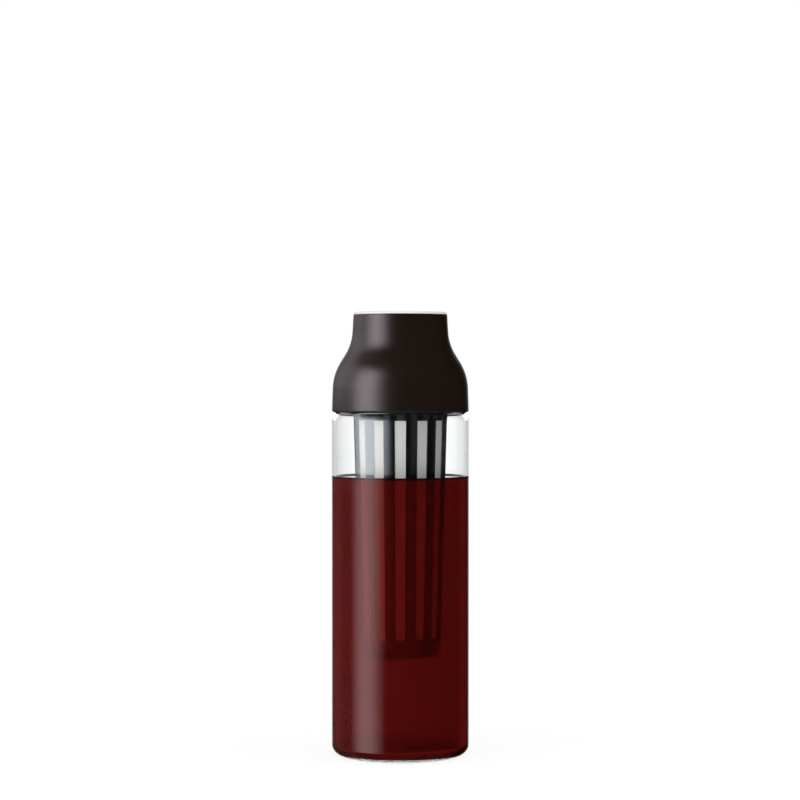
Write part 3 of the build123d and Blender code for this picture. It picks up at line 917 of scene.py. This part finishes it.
# %% Coffee
COFFEE_DARK, COFFEE_LIGHT = (0.25, 0.013, 0.0105, 1.0), (0.29, 0.016, 0.013, 1.0)
SURFACE_DARK, SURFACE_LIGHT = (0.03, 0.0030, 0.0025, 1.0), (0.04, 0.0040, 0.0035, 1.0)
# Painted shade: a darker colour near the coffee's rim, from 182.4 to 183.4 mm up.
RIM_PAINTED_SHADE, RIM_SHADE_LOW, RIM_SHADE_HIGH = (0.02, 0.011, 0.012, 1.0), 0.1824, 0.1834
# Painted shade: a darker colour in the coffee's bottom corner, below 8.5 mm.
CORNER_PAINTED_SHADE, CORNER_SHADE_HIGH, CORNER_SHADE_LOW = (0.09, 0.0065, 0.005, 1.0), 0.0085, 0.0040
COFFEE_CLEAR, COFFEE_SHEEN = 0.74, 0.23
SAME_INDEX, WATER_INDEX = 1.0, 1.33


def coffee_finish(name, index, dark, light):
    """Red brown liquid of this index: most light goes through tinted, the rest scatters in it."""
    material, tree, shader, skin = new_material(name, scale=240)
    body = tint(tree, skin.outputs["Marks"], dark, light)
    # Painted shade near the rim.
    body = tint(tree, height_mask(tree, RIM_SHADE_LOW, RIM_SHADE_HIGH), body, RIM_PAINTED_SHADE)
    # Painted shade in the bottom corner.
    body = tint(tree, height_mask(tree, CORNER_SHADE_HIGH, CORNER_SHADE_LOW), body, CORNER_PAINTED_SHADE)
    tree.links.new(body, shader.inputs["Base Color"])
    shader.inputs["Transmission Weight"].default_value = COFFEE_CLEAR
    shader.inputs["Metallic"].default_value = COFFEE_SHEEN
    shader.inputs["IOR"].default_value = index
    shader.inputs["Roughness"].default_value = 0.0
    return material


brew = coffee_finish("coffee", SAME_INDEX, COFFEE_DARK, COFFEE_LIGHT)
brew_top = coffee_finish("coffee surface", WATER_INDEX, SURFACE_DARK, SURFACE_LIGHT)

# %% [markdown]
# Each piece gets one material, apart from the coffee: the faces that lie near its level get a
# finish of their own. A second object could do that, but the liquid would be open at the top.

# %% Put the finishes on
def finish(material, *pieces):
    """Give each piece this one material."""
    for piece in pieces:
        piece.data.materials.clear()
        piece.data.materials.append(material)


finish(glass, carafe)
finish(steel, sleeve, bowl, rim, packed["stem_clip"])
finish(etched, screen)
finish(brown, shell, liner)
finish(milky, throat, cap, stem, packed["pour_guide"])
finish(black, gasket, washer)
finish(pale, seal)
finish(brew, coffee)

# %% The coffee's surface
SURFACE_MARGIN = 0.5
coffee.data.materials.append(brew_top)
centres = np.zeros(len(coffee.data.polygons) * 3)
coffee.data.polygons.foreach_get("center", centres)
on_top = centres.reshape(-1, 3)[:, 2] > (COFFEE_LEVEL - SURFACE_MARGIN) * MM
coffee.data.polygons.foreach_set("material_index", on_top.astype(int))
print("coffee surface", on_top.sum(), "faces")

# %% [markdown]
# ## Studio
#
# Glass and steel show the room more than themselves. This one is dark, with a soft panel to the
# left, a weaker one further round, and a white sweep behind. What is seen straight through the
# glass is plain white. Each answer depends on the kind of ray, which Light Path tells apart.
# A turn goes round from the front and is positive to the left. A direction's height is the Z of
# its unit vector, so it is 0 at the horizon and 1 straight up. The turns of a panel, its foot and
# its head say where its sides, its lower edge and its upper edge fade.

# %% Light from a direction
world = bpy.data.worlds.new("studio")
bpy.context.scene.world = world
world.use_nodes = True
sky = world.node_tree
east, north, height = axes(sky, "Generated")
turn = maths(sky, "ARCTAN2", product(sky, east, -1.0), product(sky, north, -1.0))
turn_away = maths(sky, "ABSOLUTE", turn)


def rising(value, start, end, level=1.0):
    """From 0 to the level while the value goes from start to end, in a smooth S."""
    return ramp(sky, value, 0, level, start, end, "SMOOTHSTEP")


def falling(value, start, end):
    """From 1 to 0 while the value goes from start to end, in a smooth S."""
    return ramp(sky, value, 1, 0, start, end, "SMOOTHSTEP")


def panel(level, start, full, fade, gone):
    """Panel that grows to its level from start to full, and ends from fade to gone, in degrees."""
    lit = rising(turn, radians(start), radians(full), level)
    return product(sky, lit, falling(turn, radians(fade), radians(gone)))


def behind(level, start, end):
    """Sweep at the back that grows to its level from start to end, in degrees on both sides."""
    return rising(turn_away, radians(start), radians(end), level)


def brightest(*lights):
    """The largest of several lights."""
    first, *others = lights
    for light in others:
        first = maths(sky, "MAXIMUM", first, light)
    return first


def bell(value, centre, width):
    """Bell curve: exp(-((value - centre) / width)^2)."""
    offset = maths(sky, "DIVIDE", maths(sky, "SUBTRACT", value, centre), width)
    return maths(sky, "EXPONENT", product(sky, offset, offset, -1.0))


# %% Kinds of ray
WALL_CROSSINGS, GLASS_CROSSINGS, ANY = 2.5, 4.5, 0.5


def ray_kinds(tree):
    """Masks of a ray: straight, mirrored, scattered, inside glass, past a wall, past coffee.

    A straight view through both glass walls crosses four faces, and one through coffee crosses
    six. Light that has crossed only two and still comes from inside was guided in the glass.
    """
    path = tree.nodes.new("ShaderNodeLightPath")
    mirrored = maths(tree, "GREATER_THAN", path.outputs["Glossy Depth"], ANY)
    scattered = maths(tree, "GREATER_THAN", path.outputs["Diffuse Depth"], ANY)
    crossed = path.outputs["Transmission Depth"]
    inside, past_wall, past_coffee = (
        maths(tree, "GREATER_THAN", crossed, limit) for limit in (ANY, WALL_CROSSINGS, GLASS_CROSSINGS)
    )
    bounced = maths(tree, "MAXIMUM", mirrored, scattered)
    seen = maths(tree, "MAXIMUM", path.outputs["Is Camera Ray"], path.outputs["Is Transmission Ray"])
    straight = product(tree, seen, maths(tree, "SUBTRACT", 1.0, bounced))
    return straight, mirrored, scattered, inside, past_wall, past_coffee


straight, mirrored, scattered, inside, past_wall, past_coffee = ray_kinds(sky)

# %% What outer surfaces mirror
ROOM = 0.004
PANEL_FOOT, PANEL_HEAD = (-0.29, -0.19), (0.50, 0.72)
KEY, KEY_TURNS = 2.25, (22, 57, 62, 94)
SIDE, SIDE_TURNS = 0.62, (65, 85, 118, 178)
SIDE_FOOT, SIDE_BELOW_FOOT = (-0.05, 0.03), 0.15
BACK, BACK_TURNS = 1.0, (150, 180)
below_head = falling(height, *PANEL_HEAD)
panel_height = product(sky, rising(height, *PANEL_FOOT), below_head)
key = product(sky, panel(KEY, *KEY_TURNS), panel_height)
above_foot = ramp(sky, height, SIDE_BELOW_FOOT, 1, *SIDE_FOOT, "SMOOTHSTEP")
side = product(sky, panel(SIDE, *SIDE_TURNS), product(sky, above_foot, below_head))
back = product(sky, behind(BACK, *BACK_TURNS), below_head)
outer = maths(sky, "ADD", brightest(maths(sky, "ADD", key, side), back), ROOM)

# %% [markdown]
# What stands inside the glass gets weaker panels, because the wall takes its share. Above the
# coffee, the lid shades their upper part, and the steel mirrors no white sweep through the coffee.

# %% What surfaces inside the glass mirror
INNER_KEY, INNER_KEY_TURNS = 0.41, (16, 66, 112, 135)
INNER_SIDE, INNER_SIDE_TURNS = 0.37, (16, 66, 200, 201)
INNER_BACK, INNER_BACK_TURNS = 1.0, (160, 178)
LID_SHADE_FOOT, LID_SHADE_HEAD = (-0.18, -0.115), (0.05, 0.2)
inner_key, inner_side = panel(INNER_KEY, *INNER_KEY_TURNS), panel(INNER_SIDE, *INNER_SIDE_TURNS)
inner_panels = maths(sky, "ADD", inner_key, inner_side)
under_lid = product(sky, rising(height, *LID_SHADE_FOOT), falling(height, *LID_SHADE_HEAD))
inner_lit = product(sky, inner_panels, choose(sky, past_coffee, under_lid, panel_height))
not_past_coffee = maths(sky, "SUBTRACT", 1.0, past_coffee)
inner_back = product(sky, behind(INNER_BACK, *INNER_BACK_TURNS), not_past_coffee)
inner = maths(sky, "ADD", brightest(inner_lit, inner_back), ROOM)

# %% [markdown]
# Some light never leaves the glass between its faces: it runs round the wall or along the thick
# base and comes out at the back, or low down towards the pale table. That light draws the outlines
# of the glass and the bright strip under the coffee. The coffee's own sheen is seen through one
# wall only, so it belongs here too.

# %% What light guided in the glass leaves to
SHEEN, SHEEN_TURNS = 0.78, (16, 62, 68, 112)
OUTLINE, OUTLINE_TURNS, OUTLINE_HEAD = 0.8, (110, 140), (0.0, 0.06)
THROUGH_BASE, BASE_TURNS, BASE_FOOT, BASE_HEAD = 3.4, (130, 160), (0.0, 0.05), (0.3, 0.5)
TABLE, TABLE_HEAD = 0.9, (-0.30, -0.45)
sheen = product(sky, panel(SHEEN, *SHEEN_TURNS), panel_height)
outline = product(sky, behind(OUTLINE, *OUTLINE_TURNS), falling(height, *OUTLINE_HEAD))
base_height = product(sky, rising(height, *BASE_FOOT), falling(height, *BASE_HEAD))
through_base = product(sky, behind(THROUGH_BASE, *BASE_TURNS), base_height)
table = rising(height, *TABLE_HEAD, TABLE)
guided = brightest(sheen, outline, through_base, table)

# %% [markdown]
# Matt surfaces gather light from all round, so they get a broad bell of it from the left and an
# even share from everywhere. Then a chain of masks picks the answer for each ray.

# %% What matt surfaces gather
GATHER, GATHER_TURN, GATHER_WIDTH, GATHER_HEIGHT, AMBIENT = 4.2, 50, 35, 0.62, 0.68
from_left = bell(turn, radians(GATHER_TURN), radians(GATHER_WIDTH))
from_left = product(sky, from_left, bell(height, 0.0, GATHER_HEIGHT), GATHER)
gathered = maths(sky, "ADD", from_left, AMBIENT)

# %% The room as each ray sees it
WHITE, THROUGH_GLASS, THROUGH_COFFEE = 1.0, 1.13, 0.39
plain_white = choose(sky, past_coffee, choose(sky, inside, WHITE, THROUGH_GLASS), THROUGH_COFFEE)
within = choose(sky, past_wall, guided, inner)
room = choose(sky, scattered, choose(sky, inside, outer, within), gathered)
strength = choose(sky, straight, room, plain_white)
background = sky.nodes["Background"]
background.inputs["Color"].default_value = (1, 1, 1, 1)
sky.links.new(strength, background.inputs["Strength"])

# %% [markdown]
# A pale matt surface also needs light from the camera's side, or it would go grey. A sun with a
# very wide disc does that, and it is kept out of every reflection.

# %% Fill light
FILL, FILL_SIZE = 0.9, 70
FILL_TURN, FILL_RISE = 60, 30
fill_data = bpy.data.lights.new("fill", "SUN")
fill_data.energy = FILL
fill_data.angle = radians(FILL_SIZE)
fill = bpy.data.objects.new("fill", fill_data)
bpy.context.scene.collection.objects.link(fill)
fill.rotation_euler = (radians(90 - FILL_RISE), 0, radians(FILL_TURN))
fill.visible_glossy = False
fill.visible_transmission = False

# %% [markdown]
# The floor is white mostly by its own light, and partly by the lamps, so a soft shadow stays on
# it. Mirrors see through it to the room, which keeps its edge out of the steel and the glass, and
# so does light scattered in the coffee, which would glow at its bottom otherwise.

# %% Floor
FLOOR_RADIUS, FLOOR_DROP = 4.0, 0.0002
FLOOR_GLOW, FLOOR_SHARE, FLOOR_WHITE, FLOOR_ROUGH = 1.035, 0.85, 0.9, 0.9
bpy.ops.mesh.primitive_circle_add(
    vertices=64, radius=FLOOR_RADIUS, fill_type="NGON", location=(0, 0, -FLOOR_DROP),
)
floor = bpy.context.object
floor.name = "floor"
floor_material = bpy.data.materials.new("floor")
floor_material.use_nodes = True
ground = floor_material.node_tree
matt = ground.nodes["Principled BSDF"]
matt.inputs["Base Color"].default_value = (FLOOR_WHITE, FLOOR_WHITE, FLOOR_WHITE, 1)
matt.inputs["Roughness"].default_value = FLOOR_ROUGH
matt.inputs["Specular IOR Level"].default_value = 0.0


def mixed(mask, off, on):
    """Mix of two of the floor's shaders by a mask."""
    node = ground.nodes.new("ShaderNodeMixShader")
    ground.links.new(mask, node.inputs["Fac"])
    ground.links.new(off, node.inputs[1])
    ground.links.new(on, node.inputs[2])
    return node.outputs["Shader"]


straight, mirrored, scattered, inside, _, past_coffee = ray_kinds(ground)
shine = ground.nodes.new("ShaderNodeEmission")
clear = ground.nodes.new("ShaderNodeBsdfTransparent")
glow = choose(ground, inside, FLOOR_GLOW, FLOOR_GLOW * THROUGH_GLASS)
ground.links.new(choose(ground, past_coffee, glow, THROUGH_COFFEE), shine.inputs["Strength"])
glowing_share = product(ground, straight, choose(ground, past_coffee, FLOOR_SHARE, 1.0))
unseen = maths(ground, "MAXIMUM", mirrored, product(ground, scattered, inside))
lit_floor = mixed(glowing_share, matt.outputs["BSDF"], shine.outputs["Emission"])
any_floor = mixed(unseen, lit_floor, clear.outputs["BSDF"])
ground.links.new(any_floor, ground.nodes["Material Output"].inputs["Surface"])
floor.data.materials.append(floor_material)

# %% [markdown]
# ## Camera
#
# A long lens at the height of the lid's lower half keeps the sides of the carafe nearly upright.
# The axis of the carafe and the horizon are given as a column and a row of the picture, and the
# camera's place and tilt follow from them.

# %% Camera
CAMERA_DISTANCE, CAMERA_HEIGHT, LENS = 1.57, 0.2528, 107.0
IMAGE, SENSOR = 800, 36.0
HORIZON_ROW, AXIS_COLUMN = 371.5, 400.35
camera_data = bpy.data.cameras.new("camera")
camera_data.lens = LENS
camera_data.sensor_width = SENSOR
camera = bpy.data.objects.new("camera", camera_data)
bpy.context.scene.collection.objects.link(camera)
focal_pixels = LENS / SENSOR * IMAGE
tilt = np.arctan((IMAGE / 2 - HORIZON_ROW) / focal_pixels)
aside = (IMAGE / 2 - AXIS_COLUMN) / focal_pixels * CAMERA_DISTANCE
camera.location = (aside, -CAMERA_DISTANCE, CAMERA_HEIGHT)
camera.rotation_euler = (np.pi / 2 - tilt, 0, 0)
bpy.context.scene.camera = camera

# %% [markdown]
# Glass in glass needs many bounces, or its edges turn black.

# %% Picture settings
scene = bpy.context.scene
scene.view_settings.view_transform = "Standard"
scene.cycles.transparent_max_bounces = 16
scene.cycles.max_bounces = 40
scene.cycles.transmission_bounces = 20
scene.cycles.glossy_bounces = 24
